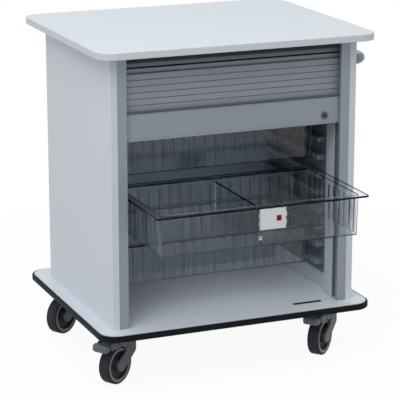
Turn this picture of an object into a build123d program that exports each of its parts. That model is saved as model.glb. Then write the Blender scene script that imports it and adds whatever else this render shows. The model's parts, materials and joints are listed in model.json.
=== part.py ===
from build123d import *

import os
from math import radians, tan

# Shutter box trolley: a cabinet on four swivel castors, closed at the front by a tambour shutter
# and holding three clear trays on moulded runners. Millimetres; the origin is on the floor under
# the middle of the base deck, +Z is up and the shutter faces -Y.

# Worktop and base deck
WIDTH = 750.0
DEPTH = 620.0
HEIGHT = 860.0
DECK_TOP = 150.0
BOARD = 17.0
CORNER_R = 48.0
EDGE_BAND = 2.0
BUMPER = 6.0

# Cabinet boards
SIDE_MARGIN = 42.0
FRONT_MARGIN = 49.0
REAR_MARGIN = 75.0
SIDE_T = 18.0
REAR_T = 18.0
LINER_T = 15.0
LINER_SETBACK = 66.0
INNER_BACK_T = 6.0
ROOF_T = 6.0
SIDE_EDGE_R = 2.0

# Guide posts and shutter
POST_W = 25.0
LIP_T = 11.0
REAR_LIP_T = 10.0
WEB_T = 4.5
RUN_GAP = 0.5
BAR_T = 9.0
BAR_H = 70.0
BAR_WALL = 2.5
BAR_GRIP = 5.0
GRIP_R = 3.0
SHUTTER_DROP = 216.0
SLAT_T = 6.0
SLAT_PITCH = 15.8
BEAD_R = 1.55
NECK = 1.2
HINGE_GAP = 0.2
MOUTH_RISE = 1.6
MOUTH_SETBACK = 0.9
BEND_STRETCH = 1.2
HALVINGS = 30
LEAF_SLATS = 9
LEAF_LIFT = 23.0
STORED_SLATS = 38
STORED_LIFT = 68.0
BEND_R = 30.0
TRACK_W = 13.0
TRACK_WALL = 3.0
TRACK_GAP = 1.4
TRACK_TAIL = 110.0
REAR_RUN_GAP = 20.0
SHOE_L = 30.0

# Lock in the shutter's end bar, and the slot that its tongue meets in the deck
LOCK_MARGIN = 65.0
LOCK_RISE = 21.0
LOCK_D = 17.0
LOCK_FLANGE_D = 20.0
LOCK_PROUD = 2.5
PLUG_D = 11.0
PLUG_GAP = 0.1
KEYWAY_W = 1.6
KEYWAY_L = 7.6
CAM_L = 10.0
CAM_T = 1.2
SLOT_L = 76.0
SLOT_W = 6.0

# Runners and trays
RUNNER_T = 3.0
LEDGE_REACH = 25.0
LEDGE_T = 12.0
LEDGE_PITCH = 47.5
FIRST_LEDGE = 88.5
RUNNER_FOOT = 48.0
RUNNER_SETBACK = 8.0
LEDGE_SETBACK = 15.0
RUNNER_BACK_GAP = 2.0
TRAY_SIDE_GAP = 12.0
TRAY_D = 335.0
TRAY_H = 105.0
TRAY_WALL = 3.0
TRAY_DRAFT = 1.4
TRAY_R = 9.0
FLANGE_W = 19.0
FLANGE_T = 3.0
FLANGE_R = 10.0
SKIRT_H = 4.5
SKIRT_T = 2.5
SEAT_GAP = 0.3
RIB_W = 3.0
RIB_DEPTH = 4.0
RIB_PITCH = 28.2
RIB_TOP_GAP = 14.0
TRAY_BACK_GAP = 6.5
TRAY_LEDGES = {"lower": 2, "middle": 5, "upper": 8}
PULLED_OUT = 261.0
DIVIDER_T = 3.0
DIVIDER_DROP = 10.0

# Label holder on the pulled-out tray
HOLDER_W = 76.0
HOLDER_H = 78.0
HOLDER_T = 2.0
HOLDER_X = 27.0
HOLDER_DROP = 4.0
HOOK_W = 8.0
HOOK_H = 9.0
HOOK_D = 4.0
CARD_W = 70.0
CARD_H = 54.0
CARD_T = 0.8
MARKER_W = 13.0
MARKER_H = 14.0
MARKER_T = 0.5
MARKER_SIDE = 12.0

# Side handle
HANDLE_D = 28.0
HANDLE_REACH = 46.0
HANDLE_SPAN = 400.0
HANDLE_BEND_R = 34.0
HANDLE_DROP = 63.0
ROSETTE_D = 46.0
ROSETTE_T = 5.0
ROSETTE_R = 1.6
BOLT_D = 8.0
BOLT_HEAD_D = 14.0
BOLT_HEAD_T = 5.0
BOLT_GRIP = 18.0

# Screws
SCREW_D = 6.0
SCREW_HEAD_D = 11.0
SCREW_HEAD_T = 4.0
CASTOR_SCREW_L = 14.0
PANEL_SCREW_L = 55.0
PANEL_SCREW_PLACES = (-140.0, -45.0, 50.0, 140.0)

# Castors
CASTOR_SIDE_MARGIN = 90.0
CASTOR_END_MARGIN = 100.0
WHEEL_D = 100.0
TYRE_W = 32.0
TYRE_T = 10.0
TYRE_R = 6.0
WHEEL_W = 26.0
HUB_D = 30.0
HUB_W = 35.0
DISH = 7.0
RIM_T = 6.0
HUB_SLOPE = 3.5
RIM_SLOPE = 3.0
TRAIL = 39.0
AXLE_D = 10.0
AXLE_CAP = 1.5
ARM_T = 5.0
ARM_CLEAR = 2.0
ARM_END_R = 16.0
ARM_BACK = 21.0
ARM_FRONT = 20.0
ARM_TOP = 8.4
ARM_EDGE_R = 1.8
KNEE_DROP = 29.0
KNEE_R = 12.0
NECK_DROP = 21.0
WEB_DROP = 11.0
WEB_T = 7.0
CROWN_D = 62.0
CROWN_T = 14.0
BRIDGE_OUT = 40.0
CHEEK_OUT = 84.0
CHEEK_R = 6.0
CHEEK_DROP = 5.0
RACE_D = 56.0
RACE_T = 10.0
PLATE_L = 84.0
PLATE_W = 64.0
PLATE_T = 4.0
PLATE_R = 8.0
PLATE_HOLE_X = 34.0
PLATE_HOLE_Y = 24.0
KINGPIN_D = 12.0
KINGPIN_HEAD_D = 20.0
KINGPIN_HEAD_T = 4.0
PIN_GAP = 0.1
PEDAL_PIN_D = 6.0
PEDAL_PIN_OUT = 50.0
TONGUE_W = 34.0
TONGUE_T = 8.0
TOE_OUT = 88.0
TOE_L = 19.0
TOE_W = 46.0
TOE_H = 21.0
TOE_R = 9.0
TOE_EDGE_R = 5.0
CASTORS = {
    "front_left": (-1, -1, 212.7),
    "front_right": (1, -1, 220.5),
    "rear_left": (-1, 1, 212.5),
    "rear_right": (1, 1, 216.0),
}

# Places worked out from the sizes above
front_y = FRONT_MARGIN - DEPTH / 2
rear_y = DEPTH / 2 - REAR_MARGIN
side_out = WIDTH / 2 - SIDE_MARGIN
side_in = side_out - SIDE_T
deck_base = DECK_TOP - BOARD
top_base = HEIGHT - BOARD
bar_front = front_y + LIP_T + RUN_GAP
bar_back = bar_front + BAR_T
bar_base = top_base - SHUTTER_DROP
leaf_y = bar_back + RUN_GAP + SLAT_T / 2
stored_y = leaf_y + SLAT_T + RUN_GAP
slot_end = side_in - WEB_T
slat_half = slot_end - RUN_GAP
channel_back = stored_y + SLAT_T / 2 + RUN_GAP
post_split = leaf_y + SLAT_T / 2 + RUN_GAP / 2
track_half = SLAT_T / 2 + TRACK_GAP + TRACK_WALL
run_z = top_base - track_half - RUN_GAP
bend_z = run_z - BEND_R
rear_run_y = rear_y - REAR_T - REAR_RUN_GAP
inner_back_y = rear_run_y - BEND_R - INNER_BACK_T - RUN_GAP
roof_base = run_z - track_half - RUN_GAP - ROOF_T
liner_front = front_y + LINER_SETBACK
liner_in = side_in - LINER_T
runner_in = liner_in - RUNNER_T
ledge_count = int((roof_base - DECK_TOP - FIRST_LEDGE + LEDGE_T) / LEDGE_PITCH)
tray_half = runner_in - TRAY_SIDE_GAP
lock_x = side_in - LOCK_MARGIN
lock_z = bar_base + LOCK_RISE
lock_y = (bar_front + bar_back) / 2
tray_back = inner_back_y - TRAY_BACK_GAP
tray_y = tray_back - TRAY_D / 2
handle_y = (front_y + rear_y) / 2
handle_z = top_base - HANDLE_DROP
castor_x = WIDTH / 2 - CASTOR_SIDE_MARGIN
castor_y = DEPTH / 2 - CASTOR_END_MARGIN
axle_z = WHEEL_D / 2
arm_in = TYRE_W / 2 + ARM_CLEAR
arm_out = arm_in + ARM_T
plate_base = deck_base - PLATE_T
race_base = plate_base - RACE_T
crown_top = race_base - PIN_GAP
crown_base = crown_top - CROWN_T
pedal_z = (crown_base + crown_top) / 2
upright = Plane((0, 0, 0), x_dir=(1, 0, 0), z_dir=(0, -1, 0))

nodes = {}


def block(x0, x1, y0, y1, z0, z1):
    """A box between two corners."""
    middle = Pos((x0 + x1) / 2, (y0 + y1) / 2, (z0 + z1) / 2)
    return middle * Box(abs(x1 - x0), abs(y1 - y0), abs(z1 - z0))


def plate(width, depth, radius, base, thickness):
    """A flat board with round corners, standing on the height base."""
    return extrude(Pos(0, 0, base) * RectangleRounded(width, depth, radius), thickness)


def rod(diameter, length, start, direction):
    """A round bar of a given length from a start point along a direction."""
    return extrude(Plane(start, z_dir=direction) * Circle(diameter / 2), length)


def group(solids):
    """Separate solids that share one node."""
    return Compound([s for part in solids for s in part.solids()])


def left_and_right(name, right):
    """One piece and its mirror image on the other side of the cabinet."""
    nodes[name + "_right"] = right
    nodes[name + "_left"] = mirror(right, about=Plane.YZ)


def screw(place, direction, length):
    """A pan-head screw whose head stands in front of its place and whose shank runs on from it."""
    back = [-d for d in direction]
    return rod(SCREW_D, length, place, direction) + rod(SCREW_HEAD_D, SCREW_HEAD_T, place, back)


def castor_places():
    """Each castor's name, swivel centre and heading."""
    return [(n, sx * castor_x, sy * castor_y, a) for n, (sx, sy, a) in CASTORS.items()]


def make_boards():
    """Worktop with its edge band, base deck with its bumper, and the screws up into the sides."""
    inner = (WIDTH - 2 * EDGE_BAND, DEPTH - 2 * EDGE_BAND, CORNER_R - EDGE_BAND)
    nodes["worktop"] = plate(*inner, top_base, BOARD)
    nodes["worktop_edge"] = plate(WIDTH, DEPTH, CORNER_R, top_base, BOARD) - nodes["worktop"]
    inner = (WIDTH - 2 * BUMPER, DEPTH - 2 * BUMPER, CORNER_R - BUMPER)
    deck = plate(*inner, deck_base, BOARD)
    bumper = plate(WIDTH, DEPTH, CORNER_R, deck_base, BOARD) - deck
    nodes["base_bumper"] = bumper
    slot = Pos(lock_x - SLOT_L / 2, lock_y, deck_base) * SlotOverall(SLOT_L, SLOT_W)
    deck -= extrude(slot, BOARD)
    for _, x, y, _ in castor_places():
        for hx, hy in plate_holes():
            deck -= rod(SCREW_D, CASTOR_SCREW_L - PLATE_T, (x + hx, y + hy, deck_base), (0, 0, 1))
    for place in panel_screw_places():
        deck -= rod(SCREW_D, BOARD, place, (0, 0, 1))
    nodes["base_deck"] = deck
    nodes["panel_screws"] = group([screw(p, (0, 0, 1), PANEL_SCREW_L) for p in panel_screw_places()])


def plate_holes():
    """Screw places on a castor's top plate, from its swivel centre."""
    return [(sx * PLATE_HOLE_X, sy * PLATE_HOLE_Y) for sx in (-1, 1) for sy in (-1, 1)]


def panel_screw_places():
    """Where screws come up through the deck into the middle of each side panel."""
    middle = side_out - SIDE_T / 2
    return [(s * middle, y, deck_base) for s in (-1, 1) for y in PANEL_SCREW_PLACES]


def handle_legs():
    """Heights and depths where the side handle meets the right panel."""
    return [handle_y - HANDLE_SPAN / 2, handle_y + HANDLE_SPAN / 2]


def make_cabinet():
    """Side, rear, lining and roof boards."""
    side = block(side_in, side_out, front_y, rear_y, DECK_TOP, top_base)
    side = fillet(side.edges().filter_by(Axis.Z).group_by(Axis.X)[-1], SIDE_EDGE_R)
    for x, y, z in panel_screw_places():
        if x > 0:
            side -= rod(SCREW_D, PANEL_SCREW_L, (x, y, z), (0, 0, 1))
    nodes["side_panel_left"] = mirror(side, about=Plane.YZ)
    for y in handle_legs():
        side -= rod(BOLT_D, SIDE_T, (side_in, y, handle_z), (1, 0, 0))
        side -= rod(BOLT_HEAD_D, BOLT_HEAD_T, (side_in, y, handle_z), (1, 0, 0))
    nodes["side_panel_right"] = side
    nodes["rear_panel"] = block(-side_in, side_in, rear_y - REAR_T, rear_y, DECK_TOP, top_base)
    left_and_right("liner", block(liner_in, side_in, liner_front, inner_back_y, DECK_TOP, roof_base))
    back = block(-side_in, side_in, inner_back_y, inner_back_y + INNER_BACK_T, DECK_TOP, roof_base)
    nodes["inner_back"] = back
    nodes["inner_roof"] = block(-side_in, side_in, liner_front, inner_back_y, roof_base, roof_base + ROOF_T)


def make_runners():
    """Formed runner panels: a thin sheet with a ledge at each pitch for a tray's flange, hollow
    behind."""
    front = liner_front + RUNNER_SETBACK
    back = inner_back_y - RUNNER_BACK_GAP
    ledge_front = front + LEDGE_SETBACK
    tip = runner_in - LEDGE_REACH
    top = ledge_height(ledge_count) - LEDGE_T
    panel = block(runner_in, liner_in, front, back, DECK_TOP + RUNNER_FOOT, top)
    ledge = block(tip, runner_in, ledge_front, back, -LEDGE_T, 0)
    ledge = fillet(ledge.edges().filter_by(Axis.Z).group_by(Axis.X)[0].sort_by(Axis.Y)[0], RUNNER_T)
    hollow = block(tip + RUNNER_T, liner_in, ledge_front + RUNNER_T, back - RUNNER_T,
                   RUNNER_T - LEDGE_T, -RUNNER_T)
    for i in range(ledge_count):
        panel += Pos(0, 0, ledge_height(i)) * ledge
    for i in range(ledge_count):
        panel -= Pos(0, 0, ledge_height(i)) * hollow
    left_and_right("runner", panel)


def ledge_height(i):
    """Top of a ledge, from the floor."""
    return DECK_TOP + FIRST_LEDGE + i * LEDGE_PITCH


def make_posts():
    """Extruded guide posts, whose channel holds the end bar and both layers of slats."""
    post = block(side_in - POST_W, side_in, front_y, channel_back + REAR_LIP_T, DECK_TOP, top_base)
    post -= block(side_in - POST_W, slot_end, front_y + LIP_T, channel_back, DECK_TOP, top_base)
    post -= block(side_in - POST_W, side_in, post_split, channel_back + REAR_LIP_T, bend_z, top_base)
    left_and_right("guide_post", post)


def shutter_path():
    """Middle line of the stored slats: up the front, back under the worktop and down the rear."""
    up = Line((0, stored_y, bar_base), (0, stored_y, bend_z))
    over = TangentArc(up @ 1, (0, stored_y + BEND_R, run_z), tangent=(0, 0, 1))
    back = Line(over @ 1, (0, rear_run_y - BEND_R, run_z))
    down = TangentArc(back @ 1, (0, rear_run_y, bend_z), tangent=(0, 1, 0))
    tail = Line(down @ 1, (0, rear_run_y, bend_z - TRACK_TAIL))
    return [up, over, back, down, tail]


def make_tracks():
    """Curved tracks that carry the slats from the posts over the roof to the rear."""
    middle = Plane((side_in, stored_y, bend_z), x_dir=(-1, 0, 0), z_dir=(0, 0, 1))
    web = Pos(TRACK_W / 2, 0) * Rectangle(TRACK_W, 2 * track_half)
    groove = Pos((TRACK_W + WEB_T) / 2, 0) * Rectangle(TRACK_W - WEB_T, SLAT_T + 2 * TRACK_GAP)
    track = sweep(middle * (web - groove), path=Wire(shutter_path()[1:]))
    track -= block(0, side_in, front_y, post_split, bend_z, top_base)
    left_and_right("shutter_track", track)


def slat_section():
    """Section of one slat, pivot at the origin and the next pivot one pitch along X.

    A round socket at its foot holds the bead of the slat below, and opens wider towards the inside
    so that the shutter can bend round its track."""
    half = SLAT_T / 2
    socket_r = BEAD_R + HINGE_GAP
    body_l = SLAT_PITCH - half - HINGE_GAP
    body = Pos(body_l / 2, 0) * Rectangle(body_l, SLAT_T) + Circle(half)
    corners = [(0, 0), (-SLAT_T, MOUTH_RISE), (-SLAT_T, -SLAT_T), (-MOUTH_SETBACK, -SLAT_T)]
    body -= Circle(socket_r)
    body -= Polygon(*corners, align=None)
    neck = Pos(SLAT_PITCH - half, 0) * Rectangle(SLAT_T, NECK)
    return body + neck + Pos(SLAT_PITCH, 0) * Circle(BEAD_R)


def slat(section, start, towards):
    """One slat hung between two pivots (y, z), from one post's channel to the other's."""
    along = (0, towards[0] - start[0], towards[1] - start[1])
    plane = Plane((-slat_half, start[0], start[1]), x_dir=along, z_dir=(1, 0, 0))
    return extrude(plane * section, 2 * slat_half)


def chain(path, first, count):
    """Pivots one pitch apart in a straight line, each on the path, from a length along it."""
    pivots = [first]
    for _ in range(count):
        low, high = pivots[-1], pivots[-1] + BEND_STRETCH * SLAT_PITCH
        here = path.position_at(pivots[-1], position_mode=PositionMode.LENGTH)
        for _ in range(HALVINGS):
            middle = (low + high) / 2
            there = path.position_at(middle, position_mode=PositionMode.LENGTH)
            if (there - here).length < SLAT_PITCH:
                low = middle
            else:
                high = middle
        pivots.append(low)
    found = [path.position_at(p, position_mode=PositionMode.LENGTH) for p in pivots]
    return [(p.Y, p.Z) for p in found]


def make_slats():
    """The leaf of slats above the end bar, and the slats that run on over the track."""
    section = slat_section()
    foot = bar_base + LEAF_LIFT + SLAT_T / 2
    heights = [foot + i * SLAT_PITCH for i in range(LEAF_SLATS)]
    leaf = [slat(section, (leaf_y, z), (leaf_y, z + SLAT_PITCH)) for z in heights]
    nodes["shutter_slats"] = group(leaf)
    pivots = chain(Wire(shutter_path()), STORED_LIFT + SLAT_T / 2, STORED_SLATS)
    stored = [slat(section, a, b) for a, b in zip(pivots, pivots[1:])]
    nodes["stored_slats"] = group(stored)


def make_end_bar():
    """Hollow end bar with a finger grip, its sliding shoes, and the lock."""
    length = slat_half - RUN_GAP
    bar_top = bar_base + BAR_H
    bar = block(-length, length, bar_front, bar_back, bar_base, bar_top)
    bar = chamfer(bar.edges().filter_by(Axis.X).group_by(Axis.Z)[-1].sort_by(Axis.Y)[0], BAR_WALL)
    bar -= block(-length, length, bar_front + BAR_WALL, bar_back, bar_base + BAR_WALL, bar_top - BAR_WALL)
    grip_half = side_in - POST_W - SEAT_GAP - BAR_GRIP
    grip = block(-grip_half, grip_half, bar_front - BAR_GRIP, bar_front, bar_base, bar_base + BAR_WALL)
    grip = fillet(grip.edges().filter_by(Axis.Z).group_by(Axis.Y)[0], GRIP_R)
    bar += grip
    bar -= rod(LOCK_D, BAR_WALL, (lock_x, bar_front, lock_z), (0, 1, 0))
    nodes["end_bar"] = bar
    shoe = block(length - SHOE_L, slat_half, bar_front + BAR_WALL, bar_back,
                 bar_base + BAR_WALL, bar_top - BAR_WALL)
    nodes["end_bar_shoes"] = group([shoe, mirror(shoe, about=Plane.YZ)])
    make_lock()


def make_lock():
    """Cylinder lock: a flanged body in the bar, a plug that turns in it, and the cam on the plug."""
    back = bar_back - BAR_WALL
    body = rod(LOCK_FLANGE_D, LOCK_PROUD, (lock_x, bar_front - LOCK_PROUD, lock_z), (0, 1, 0))
    body += rod(LOCK_D, back - bar_front, (lock_x, bar_front, lock_z), (0, 1, 0))
    bore = PLUG_D + 2 * PLUG_GAP
    body -= rod(bore, back - bar_front + LOCK_PROUD, (lock_x, bar_front - LOCK_PROUD, lock_z), (0, 1, 0))
    nodes["lock_body"] = body
    plug = rod(PLUG_D, back - bar_front + LOCK_PROUD, (lock_x, bar_front - LOCK_PROUD, lock_z), (0, 1, 0))
    plug -= block(lock_x - KEYWAY_W / 2, lock_x + KEYWAY_W / 2, bar_front - LOCK_PROUD, bar_front,
                  lock_z - KEYWAY_L / 2, lock_z + KEYWAY_L / 2)
    nodes["lock_plug"] = plug
    middle = lock_x - CAM_L / 2
    tongue = SlotCenterToCenter(CAM_L, PLUG_D)
    face = Plane((middle, back + PLUG_GAP, lock_z), x_dir=(1, 0, 0), z_dir=(0, 1, 0)) * tongue
    nodes["lock_cam"] = extrude(face, CAM_T)


def tray():
    """A clear tray, rim on z = 0 and middle of its depth on y = 0: drafted walls, a flange with a
    turned-down skirt, and vertical ribs inside every wall."""
    half_w = tray_half - FLANGE_W
    half_d = TRAY_D / 2 - FLANGE_W
    shell = extrude(RectangleRounded(2 * half_w, 2 * half_d, TRAY_R), -TRAY_H, taper=TRAY_DRAFT)
    mouth = RectangleRounded(2 * (half_w - TRAY_WALL), 2 * (half_d - TRAY_WALL), TRAY_R - TRAY_WALL)
    cavity = extrude(mouth, -(TRAY_H - TRAY_WALL), taper=TRAY_DRAFT)
    width = 2 * tray_half
    rim = plate(width, TRAY_D, FLANGE_R, -FLANGE_T, FLANGE_T)
    skirt = plate(width, TRAY_D, FLANGE_R, -SKIRT_H, SKIRT_H)
    skirt -= plate(width - 2 * SKIRT_T, TRAY_D - 2 * SKIRT_T, FLANGE_R - SKIRT_T, -SKIRT_H, SKIRT_H)
    ribs = []
    for x in rib_places(half_w - TRAY_R):
        ribs += [rib(x, s * (half_d - TRAY_WALL), RIB_W, 2 * RIB_DEPTH) for s in (-1, 1)]
    for y in rib_places(half_d - TRAY_R):
        ribs += [rib(s * (half_w - TRAY_WALL), y, 2 * RIB_DEPTH, RIB_W) for s in (-1, 1)]
    ribs = Part() + ribs
    return shell + rim + skirt - cavity + (ribs & shell)


def rib(x, y, width, depth):
    """An upright rib, half of it inside a tray's wall."""
    return block(x - width / 2, x + width / 2, y - depth / 2, y + depth / 2, TRAY_WALL - TRAY_H, -RIB_TOP_GAP)


def rib_places(reach):
    """Even places on both sides of a wall's middle."""
    count = round(reach / RIB_PITCH)
    return [s * (i + 0.5) * RIB_PITCH for i in range(count) for s in (-1, 1)]


def make_trays():
    """Three trays on the runners, with the divider and the label in the one that is pulled out."""
    model = tray()
    for name, ledge in TRAY_LEDGES.items():
        pulled = PULLED_OUT if name == "middle" else 0.0
        place = Pos(0, tray_y - pulled, ledge_height(ledge) + SKIRT_H + SEAT_GAP)
        nodes[name + "_tray"] = place * model
        if name == "middle":
            make_divider(place)
            make_label(place)


def make_divider(place):
    """A board across the depth of the pulled-out tray."""
    reach = TRAY_D / 2 - FLANGE_W - TRAY_WALL - SEAT_GAP
    lean = (TRAY_H - TRAY_WALL) * tan(radians(TRAY_DRAFT))
    outline = Polygon((-reach, -DIVIDER_DROP), (reach, -DIVIDER_DROP), (reach - lean, TRAY_WALL - TRAY_H),
                      (lean - reach, TRAY_WALL - TRAY_H), align=None)
    board = extrude(Plane((0, 0, 0), x_dir=(0, 1, 0), z_dir=(1, 0, 0)) * outline, DIVIDER_T / 2, both=True)
    nodes["tray_divider"] = place * board


def make_label(place):
    """Holder hooked on the front wall under the rim, with a plain card and a coding marker in it."""
    wall = FLANGE_W - TRAY_D / 2
    top = -SKIRT_H - HOLDER_DROP
    left = HOLDER_X - HOLDER_W / 2
    holder = block(left, left + HOLDER_W, wall - HOLDER_T, wall, top - HOLDER_H, top)
    hook_base = top - HOLDER_H
    face = wall - HOLDER_T
    hook = block(left, left + HOOK_W, face - HOOK_D, face, hook_base, hook_base + HOOK_H)
    hook -= block(left + HOLDER_T, left + HOOK_W - HOLDER_T, face - HOOK_D, face,
                  hook_base + HOLDER_T, hook_base + HOOK_H)
    nodes["label_holder"] = place * (holder + hook)
    card_face = face - CARD_T
    card_left = HOLDER_X - CARD_W / 2
    card = block(card_left, card_left + CARD_W, card_face, face, top - CARD_H, top)
    nodes["label_card"] = place * card
    right = card_left + CARD_W - MARKER_SIDE
    middle = top - CARD_H / 2
    marker = block(right - MARKER_W, right, card_face - MARKER_T, card_face,
                   middle - MARKER_H / 2, middle + MARKER_H / 2)
    nodes["label_marker"] = place * marker


def make_handle():
    """Bent tube handle on the right side, its rosettes, and the bolts from inside the panel."""
    front, back = handle_legs()
    start = side_out + ROSETTE_T
    out = side_out + HANDLE_REACH
    corners = ((start, front), (out, front), (out, back), (start, back))
    points = [(x, y, handle_z) for x, y in corners]
    path = FilletPolyline(*points, radius=HANDLE_BEND_R)
    bow = sweep(Plane(points[0], z_dir=(1, 0, 0)) * Circle(HANDLE_D / 2), path=path)
    rosettes = []
    bolts = []
    for y in (front, back):
        depth = BOLT_GRIP - ROSETTE_T
        bow -= rod(BOLT_D, depth, (start, y, handle_z), (1, 0, 0))
        disc = rod(ROSETTE_D, ROSETTE_T, (side_out, y, handle_z), (1, 0, 0))
        disc = fillet(disc.edges().sort_by(Axis.X)[-1], ROSETTE_R)
        rosettes.append(disc - rod(BOLT_D, ROSETTE_T, (side_out, y, handle_z), (1, 0, 0)))
        head = rod(BOLT_HEAD_D, BOLT_HEAD_T, (side_in, y, handle_z), (1, 0, 0))
        bolts.append(head + rod(BOLT_D, SIDE_T + BOLT_GRIP, (side_in, y, handle_z), (1, 0, 0)))
    nodes["side_handle"] = bow
    nodes["handle_rosettes"] = group(rosettes)
    nodes["handle_bolts"] = group(bolts)


def castor_head():
    """Top plate, ball race and kingpin, swivel axis on Z."""
    head = plate(PLATE_L, PLATE_W, PLATE_R, plate_base, PLATE_T)
    head += rod(RACE_D, RACE_T, (0, 0, race_base), (0, 0, 1))
    pin_base = crown_base - PIN_GAP - KINGPIN_HEAD_T
    head += rod(KINGPIN_D, race_base - pin_base, (0, 0, pin_base), (0, 0, 1))
    head += rod(KINGPIN_HEAD_D, KINGPIN_HEAD_T, (0, 0, pin_base), (0, 0, 1))
    for x, y in plate_holes():
        head -= rod(SCREW_D, PLATE_T, (x, y, plate_base), (0, 0, 1))
    return head


def castor_arm(cheek_out):
    """One arm of a fork, inner face on y = 0: a band from a bent neck to a round end at the axle, and a
    cheek that runs out over the wheel."""
    end = Pos(TRAIL, axle_z) * Circle(ARM_END_R)
    knee = (-ARM_BACK, crown_base - KNEE_DROP)
    bend = Polygon(knee, (-ARM_BACK, crown_base), (-ARM_TOP, crown_base), align=None)
    face = make_hull(end.edges() + bend.edges())
    neck_h = CROWN_T + NECK_DROP
    face += Pos((ARM_FRONT - ARM_BACK) / 2, crown_top - neck_h / 2) * Rectangle(ARM_BACK + ARM_FRONT, neck_h)
    face = fillet(face.vertices().sort_by_distance((*knee, 0))[0], KNEE_R)
    cheek_h = CROWN_T + CHEEK_DROP
    cheek = Pos(cheek_out / 2, crown_top - cheek_h / 2) * Rectangle(cheek_out, cheek_h)
    face += fillet(cheek.vertices().group_by(Axis.X)[-1], CHEEK_R)
    arm = extrude(upright * face, -ARM_T)
    return fillet(arm.faces().sort_by(Axis.Y)[-1].edges(), ARM_EDGE_R)


def castor_fork(braked):
    """Moulded fork: a round crown, a bridge over the wheel and two arms down to the axle."""
    fork = rod(CROWN_D, CROWN_T, (0, 0, crown_base), (0, 0, 1))
    fork += block(0, BRIDGE_OUT, -arm_in, arm_in, crown_base, crown_top)
    fork += block(-ARM_BACK, WEB_T - ARM_BACK, -arm_in, arm_in, crown_base - WEB_DROP, crown_base)
    arm = Pos(0, arm_in, 0) * castor_arm(CHEEK_OUT if braked else BRIDGE_OUT)
    fork += [arm, mirror(arm, about=Plane.XZ)]
    fork -= rod(KINGPIN_D + 2 * PIN_GAP, CROWN_T, (0, 0, crown_base), (0, 0, 1))
    fork -= castor_axle()
    if braked:
        hinge = (PEDAL_PIN_OUT, -arm_out, pedal_z)
        fork -= rod(PEDAL_PIN_D + 2 * PIN_GAP, 2 * arm_out, hinge, (0, 1, 0))
    return fork


def castor_pedal():
    """Brake pedal: a full round toe on a tongue, hinged on a pin between the fork's cheeks."""
    toe = block(TOE_OUT, TOE_OUT + TOE_L, -TOE_W / 2, TOE_W / 2, crown_top - TOE_H, crown_top)
    toe = fillet(toe.edges().filter_by(Axis.Z).group_by(Axis.X)[-1], TOE_R)
    toe = fillet(toe.faces().sort_by(Axis.Z)[0].edges() + toe.faces().sort_by(Axis.Z)[-1].edges(), TOE_EDGE_R)
    tongue = block(PEDAL_PIN_OUT - TONGUE_T / 2, TOE_OUT + TOE_L / 2, -TONGUE_W / 2, TONGUE_W / 2,
                   pedal_z - TONGUE_T / 2, pedal_z + TONGUE_T / 2)
    return toe + tongue + rod(PEDAL_PIN_D, 2 * arm_out, (PEDAL_PIN_OUT, -arm_out, pedal_z), (0, 1, 0))


def castor_wheel():
    """Dished wheel centre, axis on Y at the axle."""
    rim_r = WHEEL_D / 2 - TYRE_T
    half = WHEEL_W / 2
    bore_r = AXLE_D / 2 + PIN_GAP
    hub_r = HUB_D / 2
    dish_r = rim_r - RIM_T
    outline = Polyline((bore_r, 0), (bore_r, HUB_W / 2), (hub_r, HUB_W / 2), (hub_r + HUB_SLOPE, half - DISH),
                       (dish_r, half - DISH), (dish_r + RIM_SLOPE, half), (rim_r, half), (rim_r, 0),
                       close=True)
    quarter = make_face(outline)
    face = quarter + mirror(quarter, about=Plane.XZ)
    wheel = revolve(face, axis=Axis.Y)
    return Pos(TRAIL, 0, axle_z) * wheel


def castor_tyre():
    """Rounded tread on the wheel's rim."""
    rim_r = WHEEL_D / 2 - TYRE_T
    face = Pos(rim_r + TYRE_T / 2, 0) * Rectangle(TYRE_T, TYRE_W)
    face = fillet(face.vertices().group_by(Axis.X)[-1], TYRE_R)
    return Pos(TRAIL, 0, axle_z) * revolve(face, axis=Axis.Y)


def castor_axle():
    """Axle pin, whose ends stay inside the arms behind a thin cap of the moulding."""
    half = arm_out - AXLE_CAP
    return rod(AXLE_D, 2 * half, (TRAIL, -half, axle_z), (0, 1, 0))


def make_castors():
    """Four castors, turned as the trolley was last pushed; the front pair have brake pedals."""
    screws = []
    for name, x, y, heading in castor_places():
        braked = name.startswith("front")
        place = Pos(x, y, 0)
        turned = place * Rot(0, 0, heading)
        label = name + "_castor"
        nodes[label + "_head"] = place * castor_head()
        nodes[label + "_fork"] = turned * castor_fork(braked)
        nodes[label + "_wheel"] = turned * castor_wheel()
        nodes[label + "_tyre"] = turned * castor_tyre()
        nodes[label + "_axle"] = turned * castor_axle()
        if braked:
            nodes[label + "_pedal"] = turned * castor_pedal()
        for hx, hy in plate_holes():
            screws.append(screw((x + hx, y + hy, plate_base), (0, 0, 1), CASTOR_SCREW_L))
    nodes["castor_screws"] = group(screws)


def main():
    make_boards()
    make_cabinet()
    make_runners()
    make_posts()
    make_tracks()
    make_slats()
    make_end_bar()
    make_trays()
    make_handle()
    make_castors()
    os.makedirs("parts", exist_ok=True)
    for name, shape in nodes.items():
        export_step(shape, f"parts/{name}.step")


main()
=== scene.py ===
"""Shutter box trolley: gives the trolley its finishes, soft edges and small fittings.

Every piece is made in metres in the trolley's own frame: the origin is on the floor under the
middle of the base deck, +Z is up and the shutter faces -Y.
"""

import json
from math import atan2, cos, hypot, pi, radians, sin

import bmesh
import bpy
from bpy.props import FloatProperty, FloatVectorProperty, PointerProperty
from bpy.types import Operator, Panel, PropertyGroup
from mathutils import Color, Matrix, Vector


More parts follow.
